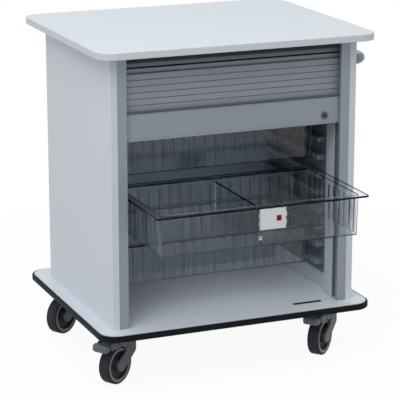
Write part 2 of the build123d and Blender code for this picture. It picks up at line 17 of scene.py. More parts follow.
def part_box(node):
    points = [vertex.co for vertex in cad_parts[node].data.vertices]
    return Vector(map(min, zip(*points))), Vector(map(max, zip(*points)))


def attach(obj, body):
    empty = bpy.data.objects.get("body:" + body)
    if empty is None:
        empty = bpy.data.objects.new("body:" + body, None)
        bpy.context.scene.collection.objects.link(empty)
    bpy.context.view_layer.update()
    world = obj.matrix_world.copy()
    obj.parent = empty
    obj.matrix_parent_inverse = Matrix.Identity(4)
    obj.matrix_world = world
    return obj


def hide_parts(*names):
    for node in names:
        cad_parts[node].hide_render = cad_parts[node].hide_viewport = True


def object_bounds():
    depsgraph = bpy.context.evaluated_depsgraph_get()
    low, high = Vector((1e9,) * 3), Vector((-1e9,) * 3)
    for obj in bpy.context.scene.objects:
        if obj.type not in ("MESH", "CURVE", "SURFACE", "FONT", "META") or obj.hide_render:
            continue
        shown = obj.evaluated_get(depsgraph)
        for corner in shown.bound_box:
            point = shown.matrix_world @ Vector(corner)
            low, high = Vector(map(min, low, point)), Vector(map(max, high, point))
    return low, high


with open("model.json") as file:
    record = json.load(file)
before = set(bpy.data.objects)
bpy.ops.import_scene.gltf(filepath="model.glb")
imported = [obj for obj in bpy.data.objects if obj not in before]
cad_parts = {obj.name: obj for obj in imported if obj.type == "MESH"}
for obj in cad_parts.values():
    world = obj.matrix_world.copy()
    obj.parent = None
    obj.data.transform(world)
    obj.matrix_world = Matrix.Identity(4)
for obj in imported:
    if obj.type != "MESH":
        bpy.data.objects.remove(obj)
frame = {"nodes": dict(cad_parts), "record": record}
cad_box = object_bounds()

bl_info = {
    "name": "Shutter Box Trolley",
    "version": (1, 0, 0),
    "blender": (4, 5, 0),
    "location": "3D View > Sidebar > Trolley",
    "description": "Finishes and fittings of a shutter box trolley",
    "category": "Object",
}

WHITE = (1.0, 1.0, 1.0, 1.0)
SENSOR_WIDTH = 36.0
CASTORS = ("front_left", "front_right", "rear_left", "rear_right")
BRAKED = ("front_left", "front_right")
SIDES = ("left", "right")
TRAYS = ("upper", "middle", "lower")

# Corners closer than MERGE are one, faces that turn by less than FLAT are one, and edges that turn by
# more than SHARP stay sharp.
MERGE = 1e-6
FLAT = radians(0.6)
SHARP = radians(32.0)

# Cosines of the angle between a face's normal and an axis.
FACING = 0.9
RIB_SIDE = 0.8
UPRIGHT = 0.7

# Sizes of the CAD: the deck's slot, a slat's height, and from its upper bead down to its middle.
SLOT_MIDDLE = (0.212, -0.245)
SLOT_LENGTH = 0.076
SLOT_WIDTH = 0.006
SLAT_PITCH = 0.0158
SLAT_DROP = 0.01245

# Faces in a rounding, from a board's corner down to a thin lining's edge, and round a wheel.
CORNER_STEPS = 20
BEND_STEPS = 8
SEAL_STEPS = 5
EDGE_STEPS = 4
SMALL_STEPS = 2
LATHE_STEPS = 72

bodies = frame["record"]["behaviour"]["bodies"]
node_body = {node: body for body, nodes in bodies.items() for node in nodes}


def number(name, description, default, **kind):
    """A number that a user can change."""
    return FloatProperty(name=name, description=description, default=default, **kind)


def length(name, description, default):
    """A size in metres that a user can change."""
    return number(name, description, default, min=0.0, precision=4, subtype="DISTANCE", unit="LENGTH")


def spot(name, description, default):
    """A place in metres that a user can change."""
    return FloatVectorProperty(name=name, description=description, default=default, size=3,
                               subtype="TRANSLATION", unit="LENGTH")


def paint(name, description, red, green, blue):
    """A colour that a user can change, given in screen values up to 255."""
    default = (red / 255, green / 255, blue / 255)
    return FloatVectorProperty(name=name, description=description, default=default, size=3, min=0.0,
                               max=1.0, subtype="COLOR_GAMMA")


class TrolleySizes(PropertyGroup):
    """Sizes of what the finishes and fittings add."""

    edge_soft: length("Edge", "Rounding of boards, slats and moulded plastic", 0.0008)
    band_soft: length("Band edge", "Rounding of the worktop band's edges", 0.0009)
    bumper_soft: length("Bumper edge", "Rounding of the bumper's outer edges", 0.0028)
    bumper_drop: length("Bumper drop", "From the deck's top down to its bumper", 0.001)
    metal_soft: length("Metal edge", "Rounding of extruded and turned metal", 0.0006)
    tray_soft: length("Tray edge", "Rounding of the clear trays' edges", 0.0004)
    corner: length("Corner", "Radius of the worktop's and deck's corners", 0.048)
    slat_gap: length("Slat gap", "Open joint between two slats", 0.0015)
    bend_gap: length("Bend gap", "Open joint between two slats on the track", 0.0042)
    neck: length("Slat neck", "Thickness of the hinge web behind a slat joint", 0.0012)
    neck_back: length("Neck set-back", "How far the web lies behind a slat's middle", 0.0014)
    seal_height: length("Seal height", "Height of the seal on the end bar", 0.0045)
    seal_depth: length("Seal depth", "Depth of the seal on the end bar", 0.0066)
    seal_soft: length("Seal edge", "Largest rounding of the seal and the wiper", 0.002)
    seal_back: length("Seal set-back", "From the shutter's front and ends to seal and wiper", 0.0012)
    wiper_height: length("Wiper height", "Height of the wiper on the leaf of slats", 0.0026)
    wiper_depth: length("Wiper depth", "Depth of the wiper on the leaf of slats", 0.0054)
    strip_height: length("Strip height", "Height of the dust strip under the worktop", 0.022)
    strip_depth: length("Strip depth", "Depth of the dust strip under the worktop", 0.006)
    strip_front: length("Strip front", "From the posts' fronts back to the dust strip", 0.0105)
    strip_soft: length("Strip edge", "Rounding of the dust strip's edges", 0.0015)
    cover: length("Cover", "Thickness of the covers behind the posts", 0.0015)
    cover_gap: length("Cover gap", "From a cover to the slats and to the runner", 0.0012)
    cover_drop: length("Cover drop", "From the leaf's top down to the covers' tops", 0.010)
    slot_lining: length("Slot lining", "Thickness of the deck slot's lining", 0.0007)
    slot_lip: length("Slot lip", "Width of the lip round the deck slot", 0.0034)
    lip_height: length("Lip height", "Height of the lip round the deck slot", 0.0006)
    tab_out: length("Label tab", "How far the label's tabs stand out", 0.0024)
    tyre_width: length("Tyre width", "Width of a castor's tread", 0.032)
    tyre_soft: length("Tyre shoulder", "Rounding of a tyre's shoulder", 0.005)
    ring_height: length("Ring height", "Height of the pale ring on a tyre's side", 0.0044)
    wheel_width: length("Wheel width", "Width of a wheel centre at its rim", 0.030)
    dish: length("Dish", "Depth of the hollow between hub and rim", 0.009)
    rim: length("Rim", "Thickness of a wheel centre's rim", 0.006)


class TrolleyColours(PropertyGroup):
    """Colours of the trolley's finishes, each under its finish's name."""

    laminate: paint("Laminate", "Worktop and base deck", 212, 221, 229)
    side_board: paint("Side board", "Side and rear panels", 212, 220, 228)
    edge_band: paint("Edge band", "Band round the worktop", 206, 211, 217)
    panel_edge: paint("Panel edge", "Band on the side panels' fronts", 207, 213, 219)
    # Partly painted shade: the lining is darker than the liners, standing in for the shade deep inside the
    # cabinet.
    lining: paint("Lining", "Boards at the cabinet's inner back and roof", 117, 130, 145)
    liner: paint("Liner", "Side boards and post covers inside the cabinet", 190, 198, 206)
    bumper: paint("Bumper", "Edge of the base deck and lining of its slot", 12, 17, 22)
    runner: paint("Runner", "Moulded runners inside the cabinet", 112, 119, 127)
    aluminium: paint("Aluminium", "Guide posts", 143, 151, 161)
    slat: paint("Slat", "Slats and end bar of the shutter", 146, 153, 163)
    shoe: paint("Shoe", "Sliding shoes and tracks", 46, 48, 52)
    # Painted shade: the seal's and the wiper's dark grey stands in for the shade in the groove over the end
    # bar and in the joint over the leaf.
    seal: paint("Seal", "Seal on the end bar and wiper on the leaf", 92, 98, 105)
    # Painted shade: the webs on the track are this dark so that the open joints there look black; the
    # leaf's webs keep the slats' colour.
    web: paint("Web", "Hinge webs on the track", 30, 33, 37)
    # Partly painted shade: the dust strip is this dark to stand in for the shadow under the worktop's
    # overhang.
    felt: paint("Felt", "Dust strip under the worktop", 64, 68, 72)
    lock: paint("Lock", "Lock cylinder and cam", 92, 96, 102)
    keyway: paint("Keyway", "Turning plug of the lock", 50, 53, 58)
    clear: paint("Clear", "Tint of the clear trays", 244, 248, 252)
    # Painted shade: the dark tint on the trays' rims and rib flanks and the grey tint on their mouths and
    # the side walls' rib flanks stand in for the dark lines that the clear plastic shows there.
    clear_rim: paint("Clear rim", "Tint of the clear trays' rims and ribs", 14, 17, 20)
    clear_lip: paint("Clear lip", "Tint of the clear trays along their mouths", 104, 112, 121)
    clear_floor: paint("Clear floor", "Tint of the clear trays' floors", 244, 248, 252)
    card: paint("Card", "Label card", 224, 228, 233)
    marker: paint("Marker", "Coding marker", 140, 4, 10)
    handle: paint("Handle", "Side handle", 128, 139, 147)
    steel: paint("Steel", "Castor heads, axles and screws", 178, 182, 188)
    fork: paint("Fork", "Castor forks", 96, 98, 102)
    pedal: paint("Pedal", "Brake pedals", 88, 94, 101)
    wheel: paint("Wheel", "Wheel centres", 52, 55, 60)
    tyre: paint("Tyre", "Tread of the tyres", 46, 50, 56)
    ring: paint("Ring", "Pale ring on the wheels' sides", 116, 118, 122)


class TrolleyStage(PropertyGroup):
    """Camera and light."""

    camera_place: spot("Camera place", "Where the camera stands", (-1.8286, -4.4095, 1.6829))
    camera_heading: number("Camera heading", "Turn of the view from +Y towards +X", radians(22.645),
                           subtype="ANGLE")
    camera_tilt: number("Camera tilt", "How far the view looks down", radians(15.175), subtype="ANGLE")
    camera_lens: number("Lens", "Focal length in millimetres", 167.76, subtype="DISTANCE_CAMERA")
    floor_span: length("Floor span", "Width of the floor", 60.0)
    floor_paper: number("Floor paper", "Share of plain white in the seen floor", 0.93, min=0.0, max=1.0,
                        subtype="FACTOR")
    floor_return: number("Floor return", "Share of light that the floor gives back", 0.42, min=0.0, max=1.0,
                         subtype="FACTOR")
    shadow_reach: length("Shadow reach", "Distance from which the floor turns to plain white", 0.8)
    sky: number("Sky", "Strength of the soft light from all round", 0.7, min=0.0)
    key_power: number("Key light", "Power of the large soft lamp", 55.0, min=0.0, unit="POWER")
    key_place: spot("Key place", "Where the large soft lamp hangs", (-1.9, -1.9, 3.4))
    key_span: length("Key span", "Width of the large soft lamp", 2.4)


def maths(operation, swapped=False):
    """A method that adds a Math node on a wire and another value, in this order or swapped."""

    def method(wire, other):
        first, second = (other, wire) if swapped else (wire, other)
        return wire.plan.add("ShaderNodeMath", {0: first, 1: second}, operation=operation)

    return method


class Wire:
    """One output of a node. Python's operators on it add Math nodes."""

    __add__ = maths("ADD")
    __radd__ = maths("ADD", True)
    __sub__ = maths("SUBTRACT")
    __rsub__ = maths("SUBTRACT", True)
    __mul__ = maths("MULTIPLY")
    __rmul__ = maths("MULTIPLY", True)
    __truediv__ = maths("DIVIDE")
    __gt__ = maths("GREATER_THAN")

    def __init__(self, plan, socket):
        self.plan = plan
        self.socket = socket


class Plan:
    """A node tree under construction."""

    def __init__(self, tree):
        self.tree = tree

    def add(self, kind, sockets=None, out=0, **settings):
        """Adds a node, applies its settings, feeds its sockets and returns one of its outputs."""
        node = self.tree.nodes.new(kind)
        for name, value in settings.items():
            setattr(node, name, value)
        for name, value in (sockets or {}).items():
            self.feed(node.inputs[name], value)
        return Wire(self, node.outputs[out]) if node.outputs else node

    def feed(self, socket, value):
        """Links a wire to a socket, or sets the socket's own value."""
        if isinstance(value, Wire):
            self.tree.links.new(value.socket, socket)
        else:
            socket.default_value = value

    def rays(self, *kinds):
        """1 for rays of any of these kinds, and 0 for the others."""
        path = self.add("ShaderNodeLightPath").socket.node
        first, *others = [Wire(self, path.outputs[f"Is {kind} Ray"]) for kind in kinds]
        return sum(others, first) > 0.5

    def either(self, factor, first, second):
        """A shader between two others."""
        return self.add("ShaderNodeMixShader", {0: factor, 1: first, 2: second})


class Finish(Plan):
    """A procedural material on a piece's own coordinates, with the colour of its name."""

    def __init__(self, name):
        surface = bpy.data.materials.new("trolley_" + name)
        surface.use_nodes = True
        super().__init__(surface.node_tree)
        self.shade = getattr(bpy.context.scene.trolley_colours, name)
        self.shader = self.tree.nodes["Principled BSDF"]
        self.place = self.add("ShaderNodeTexCoord", out="Object")

    def set(self, socket, value):
        """Feeds one of the surface shader's sockets."""
        self.feed(self.shader.inputs[socket], value)

    def noise(self, scale, detail=2.0, stretch=(1.0, 1.0, 1.0)):
        """Noise with a number of features to the metre, more or fewer along an axis by its stretch."""
        drawn = self.add("ShaderNodeMapping", {"Vector": self.place, "Scale": stretch})
        return self.add("ShaderNodeTexNoise", {"Vector": drawn, "Scale": scale, "Detail": detail})

    def tone(self, factor, low, high):
        """Lets the colour run between two levels of the finish's own shade."""
        light = Color(self.shade).from_srgb_to_scene_linear()
        first, second = [(*[min(1.0, c * level) for c in light], 1.0) for level in (low, high)]
        mixed = self.add("ShaderNodeMix", {0: factor, 6: first, 7: second}, 2, data_type="RGBA")
        self.set("Base Color", mixed)

    def relief(self, height, depth, strength):
        """Bumps of a depth in metres."""
        bump = self.add("ShaderNodeBump", {"Strength": strength, "Distance": depth, "Height": height})
        self.set("Normal", bump)


class Recipe(Plan):
    """A Geometry Nodes tree with named inputs for its sizes, which makes one piece."""

    KINDS = {float: "NodeSocketFloat", tuple: "NodeSocketVector"}

    def __init__(self, node, sizes, name=None):
        super().__init__(bpy.data.node_groups.new(name or node, "GeometryNodeTree"))
        self.node = node
        self.name = name
        self.sizes = sizes
        self.face = self.tree.interface
        self.face.new_socket("Geometry", in_out="OUTPUT", socket_type="NodeSocketGeometry")
        self.face.new_socket("Places", in_out="INPUT", socket_type="NodeSocketGeometry")
        for size, value in sizes.items():
            self.face.new_socket(size, in_out="INPUT", socket_type=self.KINDS[type(value)])
        self.face.new_socket("Material", in_out="INPUT", socket_type="NodeSocketMaterial")
        self.source = self.tree.nodes.new("NodeGroupInput")

    def __getitem__(self, name):
        return Wire(self, self.source.outputs[name])

    def wires(self):
        """The sizes' wires, in the order in which the sizes were given."""
        return [self[size] for size in self.sizes]

    def vector(self, x=0.0, y=0.0, z=0.0):
        """A vector from three values."""
        return self.add("ShaderNodeCombineXYZ", {"X": x, "Y": y, "Z": z})

    def rounded(self, width, height, radius, steps):
        """A rectangle with round corners, as a curve about the origin."""
        outline = self.add("GeometryNodeCurvePrimitiveQuadrilateral", {"Width": width, "Height": height})
        corners = {"Curve": outline, "Radius": radius, "Count": steps, "Limit Radius": True}
        return self.add("GeometryNodeFilletCurve", corners, mode="POLY")

    def swept(self, path, section, caps=False):
        """A section swept along a path."""
        sockets = {"Curve": path, "Profile Curve": section, "Fill Caps": caps}
        return self.add("GeometryNodeCurveToMesh", sockets)

    def strip(self, run, depth, height, soft, steps):
        """A straight strip along X with round long edges, about the origin."""
        half = run / 2
        ends = {"Start": self.vector(x=half * -1.0), "End": self.vector(x=half)}
        line = self.add("GeometryNodeCurvePrimitiveLine", ends)
        return self.swept(line, self.rounded(depth, height, soft, steps), True)

    def rod(self, sides, radius, depth, middle):
        """A straight rod on the Z axis, with its middle at a height."""
        rod = self.add("GeometryNodeMeshCylinder", {"Vertices": sides, "Radius": radius, "Depth": depth})
        return self.moved(rod, self.vector(z=middle))

    def moved(self, geometry, offset):
        """Geometry shifted by a vector."""
        return self.add("GeometryNodeTransform", {"Geometry": geometry, "Translation": offset})

    def joined(self, *parts):
        """Several geometries as one."""
        joint = self.add("GeometryNodeJoinGeometry")
        for part in reversed(parts):
            self.feed(joint.socket.node.inputs[0], part)
        return joint

    def copies(self, part):
        """Copies of a part on the places, each turned about X by its place's own lean."""
        lean = self.add("GeometryNodeInputNamedAttribute", {"Name": "lean"}, data_type="FLOAT")
        return self.add("GeometryNodeInstanceOnPoints",
                        {"Points": self["Places"], "Instance": part, "Rotation": self.vector(x=lean)})

    def piece(self, geometry, surface, slot, places=(), leans=()):
        """Ends the tree, runs it and makes its plain mesh a piece."""
        whole = self.add("GeometryNodeRealizeInstances", {"Geometry": geometry})
        dressed = self.add("GeometryNodeSetMaterial", {"Geometry": whole, "Material": self["Material"]})
        self.add("NodeGroupOutput", {"Geometry": dressed})
        base = bpy.data.meshes.new(self.tree.name)
        base.from_pydata(places, [], [])
        lean = base.attributes.new("lean", "FLOAT", "POINT")
        lean.data.foreach_set("value", leans or [0.0] * len(places))
        holder = add_object(self.tree.name + "_holder", base)
        modifier = holder.modifiers.new("recipe", "NODES")
        modifier.node_group = self.tree
        values = {**self.sizes, "Material": material(surface)}
        for item in self.face.items_tree:
            if item.in_out == "INPUT" and item.name in values:
                modifier[item.identifier] = values[item.name]
        mesh = applied(holder)
        face_outwards(mesh)
        piece(self.node, mesh, self.name)


def laminate(name):
    """Satin laminate: a fine dry print with a faint cloud in it."""
    finish = Finish(name)
    speck = finish.noise(1100.0, 1.0)
    cloud = finish.noise(5.0, 3.0)
    finish.tone(speck * 0.6 + cloud * 0.4, 0.95, 1.05)
    finish.set("Roughness", 0.36 + cloud * 0.16)
    finish.relief(speck, 0.00008, 0.2)


def edging(name):
    """Extruded plastic edging, with faint lines along the board."""
    finish = Finish(name)
    peel = finish.noise(500.0)
    drawn = finish.noise(60.0, stretch=(0.05, 0.05, 12.0))
    finish.tone(drawn, 0.94, 1.06)
    finish.set("Roughness", 0.34 + peel * 0.14)
    finish.relief(peel, 0.00006, 0.25)


def rubber(name, scuff):
    """Dull rubber or vinyl, greyed where it rubs."""
    finish = Finish(name)
    grain = finish.noise(900.0)
    rubbed = finish.noise(26.0, 4.0, (1.0, 1.0, 3.0))
    worn = (rubbed - 0.52) * 4.0 * (rubbed > 0.52)
    finish.tone(worn * scuff, 1.0, 3.0)
    finish.set("Roughness", 0.5 + grain * 0.2)
    finish.set("Specular IOR Level", 0.12)
    finish.relief(grain, 0.00012, 0.3)


def moulding(name, roughness=0.44, gloss=0.5):
    """Moulded plastic with a fine spark-eroded texture."""
    finish = Finish(name)
    grain = finish.noise(1300.0)
    flow = finish.noise(14.0, 3.0)
    finish.tone(flow * 0.7 + grain * 0.3, 0.92, 1.08)
    finish.set("Roughness", roughness - 0.06 + grain * 0.12)
    finish.set("Specular IOR Level", gloss)
    finish.relief(grain, 0.00007, 0.3)


def drawn_metal(name, lines, metallic, roughness):
    """Metal with fine lines, so many to the metre along each axis."""
    finish = Finish(name)
    drawn = finish.noise(1.0, 3.0, lines)
    cloud = finish.noise(9.0)
    finish.tone(drawn, 0.9, 1.1)
    finish.set("Roughness", roughness - 0.08 + drawn * 0.1 + cloud * 0.06)
    finish.set("Metallic", metallic)
    finish.relief(drawn, 0.00004, 0.2)


def clear_plastic(name, bend, gloss=0.5, streaks=0.985):
    """Clear moulded plastic with a flow pattern and fine upright streaks."""
    finish = Finish(name)
    flow = finish.noise(1.0, stretch=(90.0, 90.0, 18.0))
    streak = finish.noise(1.0, stretch=(260.0, 260.0, 8.0))
    finish.tone((streak - 0.35) * 5.0, streaks, 1.0)
    finish.set("Roughness", 0.015 + flow * 0.03)
    finish.set("Transmission Weight", 1.0)
    finish.set("IOR", bend)
    finish.set("Specular IOR Level", gloss)
    finish.relief(flow, 0.0012, 0.2)
    # Lamps and soft light shine straight through.
    open_air = finish.add("ShaderNodeBsdfTransparent")
    seen = Wire(finish, finish.shader.outputs["BSDF"])
    mixed = finish.either(finish.rays("Shadow", "Diffuse"), seen, open_air)
    finish.feed(finish.tree.nodes["Material Output"].inputs["Surface"], mixed)


def pressed_felt(name):
    """Felt with a short fibre."""
    finish = Finish(name)
    fibre = finish.noise(900.0, 3.0)
    finish.tone(fibre, 0.6, 1.4)
    finish.set("Roughness", 0.8)
    finish.set("Specular IOR Level", 0.1)
    finish.relief(fibre, 0.0004, 0.5)


def paper(name):
    """Plain card with a soft fibre."""
    finish = Finish(name)
    fibre = finish.noise(1.0, 4.0, (700.0, 700.0, 1500.0))
    finish.tone(fibre, 0.95, 1.03)
    finish.set("Roughness", 0.62 + fibre * 0.15)
    finish.relief(fibre, 0.00004, 0.3)


def material(name):
    """A finish that has been made, by name."""
    return bpy.data.materials["trolley_" + name]


def add_object(name, data):
    """A new object in the scene."""
    obj = bpy.data.objects.new(name, data)
    bpy.context.scene.collection.objects.link(obj)
    return obj


def applied(holder):
    """The plain mesh that an object's modifiers make. The object goes."""
    graph = bpy.context.evaluated_depsgraph_get()
    mesh = bpy.data.meshes.new_from_object(holder.evaluated_get(graph))
    bpy.data.objects.remove(holder)
    if not mesh.polygons:
        raise RuntimeError(f"{mesh.name} came out empty")
    return mesh


def mesh_of(work, name):
    """A plain mesh of a shape under work, which is freed."""
    mesh = bpy.data.meshes.new(name)
    work.to_mesh(mesh)
    work.free()
    return mesh


def face_outwards(mesh):
    """Turns every face of a closed mesh outwards."""
    work = bmesh.new()
    work.from_mesh(mesh)
    bmesh.ops.recalc_face_normals(work, faces=work.faces[:])
    work.to_mesh(mesh)
    work.free()


def merged(node):
    """A merged copy of a CAD node's mesh, its flat faces made whole."""
    work = bmesh.new()
    work.from_mesh(frame["nodes"][node].data)
    bmesh.ops.remove_doubles(work, verts=work.verts[:], dist=MERGE)
    bmesh.ops.dissolve_limit(work, angle_limit=FLAT, verts=work.verts[:], edges=work.edges[:])
    return work


def softened(node, soft):
    """A merged copy of a CAD node's mesh with its outer edges rounded."""
    work = merged(node)
    if soft:
        edges = [e for e in work.edges if e.is_manifold and e.is_convex and e.calc_face_angle() > SHARP]
        bmesh.ops.bevel(work, geom=edges, offset=soft, offset_type="OFFSET", segments=SMALL_STEPS,
                        profile=0.5, affect="EDGES", clamp_overlap=True)
    return work


def solid_boxes(node):
    """The lowest and highest corner of each separate solid of a CAD node."""
    work = merged(node)
    left = set(work.verts)
    found = []
    while left:
        group = [left.pop()]
        for vert in group:
            near = {e.other_vert(vert) for e in vert.link_edges} & left
            left -= near
            group += near
        axes = list(zip(*[v.co for v in group]))
        found.append((Vector([min(a) for a in axes]), Vector([max(a) for a in axes])))
    work.free()
    return sorted(found, key=lambda box: tuple(box[0]))


def middle_of(node):
    """Middle of a CAD node's box."""
    low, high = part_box(node)
    return (low + high) / 2


def blocks(corners):
    """Plain blocks, each between two corners."""
    work = bmesh.new()
    for low, high in corners:
        size = Matrix.Diagonal((*(high - low), 1.0))
        bmesh.ops.create_cube(work, size=1.0, matrix=Matrix.Translation((low + high) / 2) @ size)
    return mesh_of(work, "blocks")


def lathe(side):
    """Half an outline of (radius, across) points, mirrored and turned about the Y axis."""
    outline = side + [(r, -y) for r, y in reversed(side)]
    turns = [2 * pi * i / LATHE_STEPS for i in range(LATHE_STEPS)]
    verts = [(r * cos(a), y, r * sin(a)) for a in turns for r, y in outline]
    count = len(outline)
    faces = []
    for i in range(LATHE_STEPS):
        here, there = i * count, (i + 1) % LATHE_STEPS * count
        for k in range(count):
            after = (k + 1) % count
            faces.append((here + k, here + after, there + after, there + k))
    mesh = bpy.data.meshes.new("lathe")
    mesh.from_pydata(verts, [], faces)
    face_outwards(mesh)
    return mesh


def beside(radius, across, offsets):
    """Points of an outline beside one of its corners."""
    return [(radius + out, across + up) for out, up in offsets]


def coated(mesh, *surfaces):
    """A mesh with these finishes added to its material slots."""
    for surface in surfaces:
        mesh.materials.append(material(surface))
    return mesh


def coat(node, surface):
    """Gives a CAD node that keeps its own mesh its finish."""
    mesh = frame["nodes"][node].data
    mesh.materials.clear()
    coated(mesh, surface)


def mark(mesh, surface, chosen):
    """Gives the faces that a test chooses a second finish."""
    coated(mesh, surface)
    for face in mesh.polygons:
        if chosen(face):
            face.material_index = 1


def piece(node, mesh, name=None):
    """Puts a mesh on a CAD node's body, in place of the node or beside it under a name of its own."""
    mesh.shade_smooth()
    mesh.set_sharp_from_angle(angle=SHARP)
    obj = add_object(name or node + "_piece", mesh)
    obj.modifiers.new("level faces", "WEIGHTED_NORMAL").keep_sharp = True
    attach(obj, node_body[node])
    if not name:
        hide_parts(node)
    return obj


def dress(node, surface, soft=0.0):
    """Replaces a CAD node by its own shape with soft edges and a finish."""
    mesh = mesh_of(softened(node, soft), node)
    return piece(node, coated(mesh, surface))


def soft_strip(name, node, size, soft, steps, place, surface):
    """A straight strip along X with round long edges, which rides with a CAD node."""
    sizes = {"Length": size[0], "Depth": size[1], "Height": size[2], "Soft": soft, "Place": place}
    recipe = Recipe(node, sizes, name)
    run, depth, height, edge, middle = recipe.wires()
    strip = recipe.moved(recipe.strip(run, depth, height, edge, steps), middle)
    recipe.piece(strip, surface, "shoe")


class TROLLEY_OT_finishes(Operator):
    """Make the trolley's finishes"""

    bl_idname = "trolley.finishes"
    bl_label = "Finishes"

    def execute(self, context):
        for name in ("laminate", "side_board", "lining", "liner"):
            laminate(name)
        for name in ("edge_band", "panel_edge"):
            edging(name)
        rubber("bumper", scuff=0.25)
        rubber("tyre", scuff=0.35)
        for name in ("ring", "runner", "pedal"):
            moulding(name)
        for name in ("shoe", "seal", "wheel"):
            # Of these, the seal's dark grey is painted shade.
            moulding(name, roughness=0.5, gloss=0.2)
        moulding("slat", roughness=0.42)
        moulding("handle", roughness=0.22)
        moulding("marker", roughness=0.5, gloss=0.15)
        moulding("fork", roughness=0.48, gloss=0.3)
        # The webs' dark colour is painted shade in the open joints on the track.
        moulding("web", roughness=0.6, gloss=0.1)
        # The dust strip's finish: its dark colour is painted shade under the worktop.
        pressed_felt("felt")
        paper("card")
        drawn_metal("aluminium", lines=(900.0, 900.0, 4.0), metallic=0.35, roughness=0.48)
        drawn_metal("lock", lines=(500.0,) * 3, metallic=0.6, roughness=0.34)
        drawn_metal("keyway", lines=(500.0,) * 3, metallic=0.6, roughness=0.4)
        drawn_metal("steel", lines=(300.0,) * 3, metallic=1.0, roughness=0.36)
        clear_plastic("clear", bend=1.33, gloss=0.2, streaks=0.73)
        # Tints of painted shade for the trays' rims, mouths and rib flanks.
        for name in ("clear_rim", "clear_lip"):
            clear_plastic(name, bend=1.2, gloss=0.1)
        clear_plastic("clear_floor", bend=1.02)
        return {"FINISHED"}


class TROLLEY_OT_boards(Operator):
    """Make the worktop with its edge band and the base deck with its bumper and lined slot"""

    bl_idname = "trolley.boards"
    bl_label = "Boards"

    def execute(self, context):
        sizes = context.scene.trolley_sizes
        for board in ("worktop", "base_deck"):
            dress(board, "laminate", sizes.edge_soft)
        self.band("worktop_edge", "worktop", "edge_band", sizes.corner, sizes.band_soft, 0.0)
        self.band("base_bumper", "base_deck", "bumper", sizes.corner, sizes.bumper_soft, sizes.bumper_drop)
        self.slot(sizes)
        return {"FINISHED"}

    def band(self, node, board, surface, corner, soft, drop):
        """A band with round edges, swept round a board's outline, its top below the board's by a drop."""
        low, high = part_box(node)
        recipe = Recipe(node, {
            "Width": high.x - low.x, "Depth": high.y - low.y, "Corner": corner,
            "Thickness": high.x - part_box(board)[1].x, "Height": high.z - low.z - drop, "Soft": soft,
            "Middle": (low.z + high.z - drop) / 2})
        width, depth, radius, inset, height, edge, middle = recipe.wires()
        path = recipe.rounded(width - inset, depth - inset, radius - inset / 2, CORNER_STEPS)
        band = recipe.swept(path, recipe.rounded(inset, height, edge, SEAL_STEPS))
        band = recipe.moved(band, recipe.vector(z=middle))
        recipe.piece(band, surface, surface)

    def slot(self, sizes):
        """A dark lining in the slot of the base deck, with a thin lip round its mouth."""
        low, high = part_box("base_deck")
        recipe = Recipe("base_deck", {
            "Length": SLOT_LENGTH, "Width": SLOT_WIDTH, "Lining": sizes.slot_lining,
            "Height": high.z - low.z, "Lip": sizes.slot_lip, "Lip height": sizes.lip_height,
            "Middle": (*SLOT_MIDDLE, (low.z + high.z) / 2)}, "slot_lining")
        run, width, lining, height, lip, lip_height, middle = recipe.wires()
        inner = width - lining
        path = recipe.rounded(run - lining, inner, inner / 2, BEND_STEPS)
        wall = recipe.swept(path, recipe.rounded(lining, height, lining / 4, SMALL_STEPS))
        outer = width + lip
        path = recipe.rounded(run + lip, outer, outer / 2, BEND_STEPS)
        mouth = recipe.swept(path, recipe.rounded(lip, lip_height, lip_height / 3, SMALL_STEPS))
        mouth = recipe.moved(mouth, recipe.vector(z=(height + lip_height) / 2))
        both = recipe.moved(recipe.joined(wall, mouth), middle)
        recipe.piece(both, "bumper", "bumper")


class TROLLEY_OT_cabinet(Operator):
    """Make the panels, linings, runners and guide posts, with the posts' covers and the dust strip, whose
    dark colour is painted shade under the worktop
    """

    bl_idname = "trolley.cabinet"
    bl_label = "Cabinet"

    def execute(self, context):
        sizes = context.scene.trolley_sizes
        for side in SIDES:
            panel = dress("side_panel_" + side, "side_board", sizes.edge_soft)
            mark(panel.data, "panel_edge", lambda face: face.normal.y < -FACING)
            dress("liner_" + side, "liner", sizes.edge_soft)
            dress("guide_post_" + side, "aluminium", sizes.metal_soft)
            coat("shutter_track_" + side, "shoe")
        dress("rear_panel", "side_board", sizes.edge_soft)
        # The inner back and roof boards are darker than the liners, partly as painted shade deep inside the
        # cabinet.
        for board in ("inner_back", "inner_roof"):
            coat(board, "lining")
        self.dust_strip_and_shade(sizes)
        self.covers(sizes)
        for side in SIDES:
            dress("runner_" + side, "runner", sizes.edge_soft)
        return {"FINISHED"}

    def dust_strip_and_shade(self, sizes):
        """A felt strip under the worktop that keeps dust from the shutter's track. Its dark colour is
        painted shade: it stands in for the shadow under the worktop's overhang.
        """
        left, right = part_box("guide_post_left")[1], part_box("guide_post_right")[0]
        height, depth = sizes.strip_height, sizes.strip_depth
        place = (0.0, right.y + sizes.strip_front + depth / 2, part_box("worktop")[0].z - height / 2)
        soft_strip("dust_strip_and_shade", "worktop", (right.x - left.x, depth, height), sizes.strip_soft, EDGE_STEPS,
                   place, "felt")

    def covers(self, sizes):
        """A pale strip on the inner side of each post, which closes the gap to the liner."""
        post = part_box("guide_post_right")[0]
        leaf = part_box("shutter_slats")[1]
        front = leaf.y + sizes.cover_gap
        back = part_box("runner_right")[0].y - sizes.cover_gap
        top = leaf.z - sizes.cover_drop
        corners = []
        for x in (post.x - sizes.cover, -post.x):
            corners.append((Vector((x, front, post.z)), Vector((x + sizes.cover, back, top))))
        piece("liner_right", coated(blocks(corners), "liner"), "post_covers")


